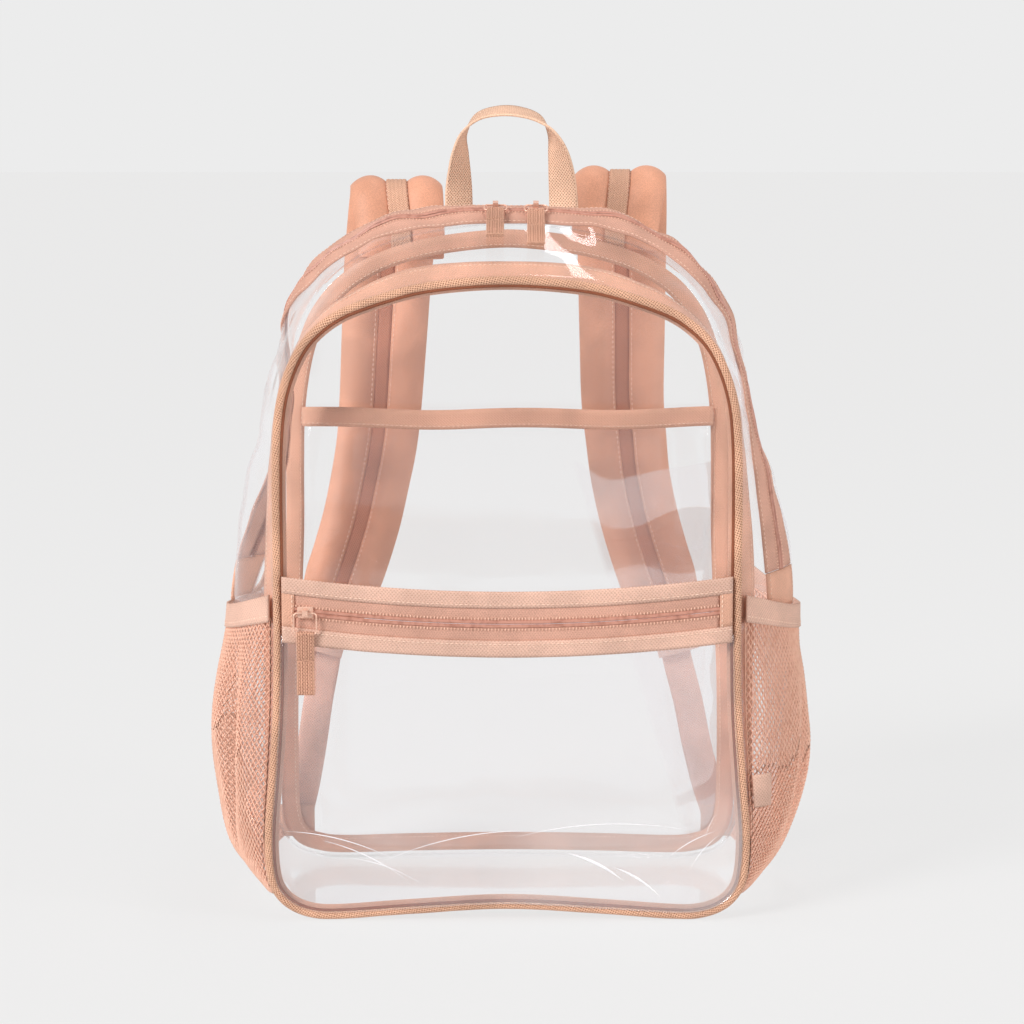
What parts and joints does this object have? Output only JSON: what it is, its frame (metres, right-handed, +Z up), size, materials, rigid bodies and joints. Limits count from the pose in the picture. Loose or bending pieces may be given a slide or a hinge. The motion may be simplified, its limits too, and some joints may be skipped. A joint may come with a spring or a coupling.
{
  "type": "clear stadium backpack",
  "caption": "Clear plastic backpack with rose trim: piped front, zipped front pocket, net side pockets, grab handle and padded shoulder straps.",
  "frame": {"origin": "on the floor, under the middle of the bag's box: midway between its side seams and midway between its front and rear seams", "axes": "+Z up, -Y towards the front panel, +X to the right of someone facing the front"},
  "size_m": [0.3885, 0.206, 0.5114],
  "materials": {
    "clear_sheet": "clear, glossy film",
    "cord": "woven cover over a cord",
    "grosgrain": "ribbed tape, matt",
    "webbing": "woven webbing, matt",
    "net": "knitted net, matt",
    "pad_cloth": "smooth satin cloth over foam",
    "zip_tape": "woven tape, matt",
    "zip_coil": "satin nylon coil",
    "slider_metal": "satin paint",
    "pull_tab": "ribbed cord tape",
    "buckle_plastic": "satin plastic"
  },
  "bodies": {
    "bag": {"anchor_tab_left": "grosgrain", "anchor_tab_right": "grosgrain", "back_binding": "grosgrain", "back_panel": "clear_sheet", "buckle_left": "buckle_plastic", "buckle_right": "buckle_plastic", "front_binding": "grosgrain", "front_panel": "clear_sheet", "front_piping": "cord", "gusset_front": "clear_sheet", "gusset_lower": "clear_sheet", "gusset_rear": "clear_sheet", "handle": "webbing", "label_tab": "grosgrain", "lower_webbing_left": "webbing", "lower_webbing_right": "webbing", "main_slider_left": "slider_metal", "main_slider_right": "slider_metal", "main_zip_coil": "zip_coil", "main_zip_end_left": "grosgrain", "main_zip_end_right": "grosgrain", "main_zip_tape_front": "zip_tape", "main_zip_tape_rear": "zip_tape", "pocket_binding_lower": "grosgrain", "pocket_binding_upper": "grosgrain", "pocket_end_left": "grosgrain", "pocket_end_right": "grosgrain", "pocket_panel": "clear_sheet", "pocket_slider": "slider_metal", "pocket_zip_coil": "zip_coil", "pocket_zip_tape_lower": "zip_tape", "pocket_zip_tape_upper": "zip_tape", "side_pocket_band_left": "grosgrain", "side_pocket_band_right": "grosgrain", "side_pocket_net_left": "net", "side_pocket_net_right": "net", "sleeve_binding": "grosgrain", "sleeve_panel": "clear_sheet", "strap_pad_left": "pad_cloth", "strap_pad_right": "pad_cloth", "strap_webbing_left": "webbing", "strap_webbing_right": "webbing"},
    "pocket_pull": {"pocket_pull_loop": "slider_metal", "pocket_pull_tab": "pull_tab"},
    "main_pull_left": {"main_pull_left_loop": "slider_metal", "main_pull_left_tab": "pull_tab"},
    "main_pull_right": {"main_pull_right_loop": "slider_metal", "main_pull_right_tab": "pull_tab"}
  },
  "joints": [
    {"name": "pocket_pull_hinge", "type": "hinge", "parent": "bag", "child": "pocket_pull", "pos_m": [-0.126, -0.0776, 0.19932], "axis": [1, 0, 0], "range_deg": [-170, 0]},
    {"name": "main_pull_left_hinge", "type": "hinge", "parent": "bag", "child": "main_pull_left", "pos_m": [-0.00744, -0.01329, 0.4496], "axis": [1, 0, 0], "range_deg": [-150, 0]},
    {"name": "main_pull_right_hinge", "type": "hinge", "parent": "bag", "child": "main_pull_right", "pos_m": [0.01813, -0.01328, 0.44965], "axis": [1, 0, 0], "range_deg": [-150, 0]}
  ]
}
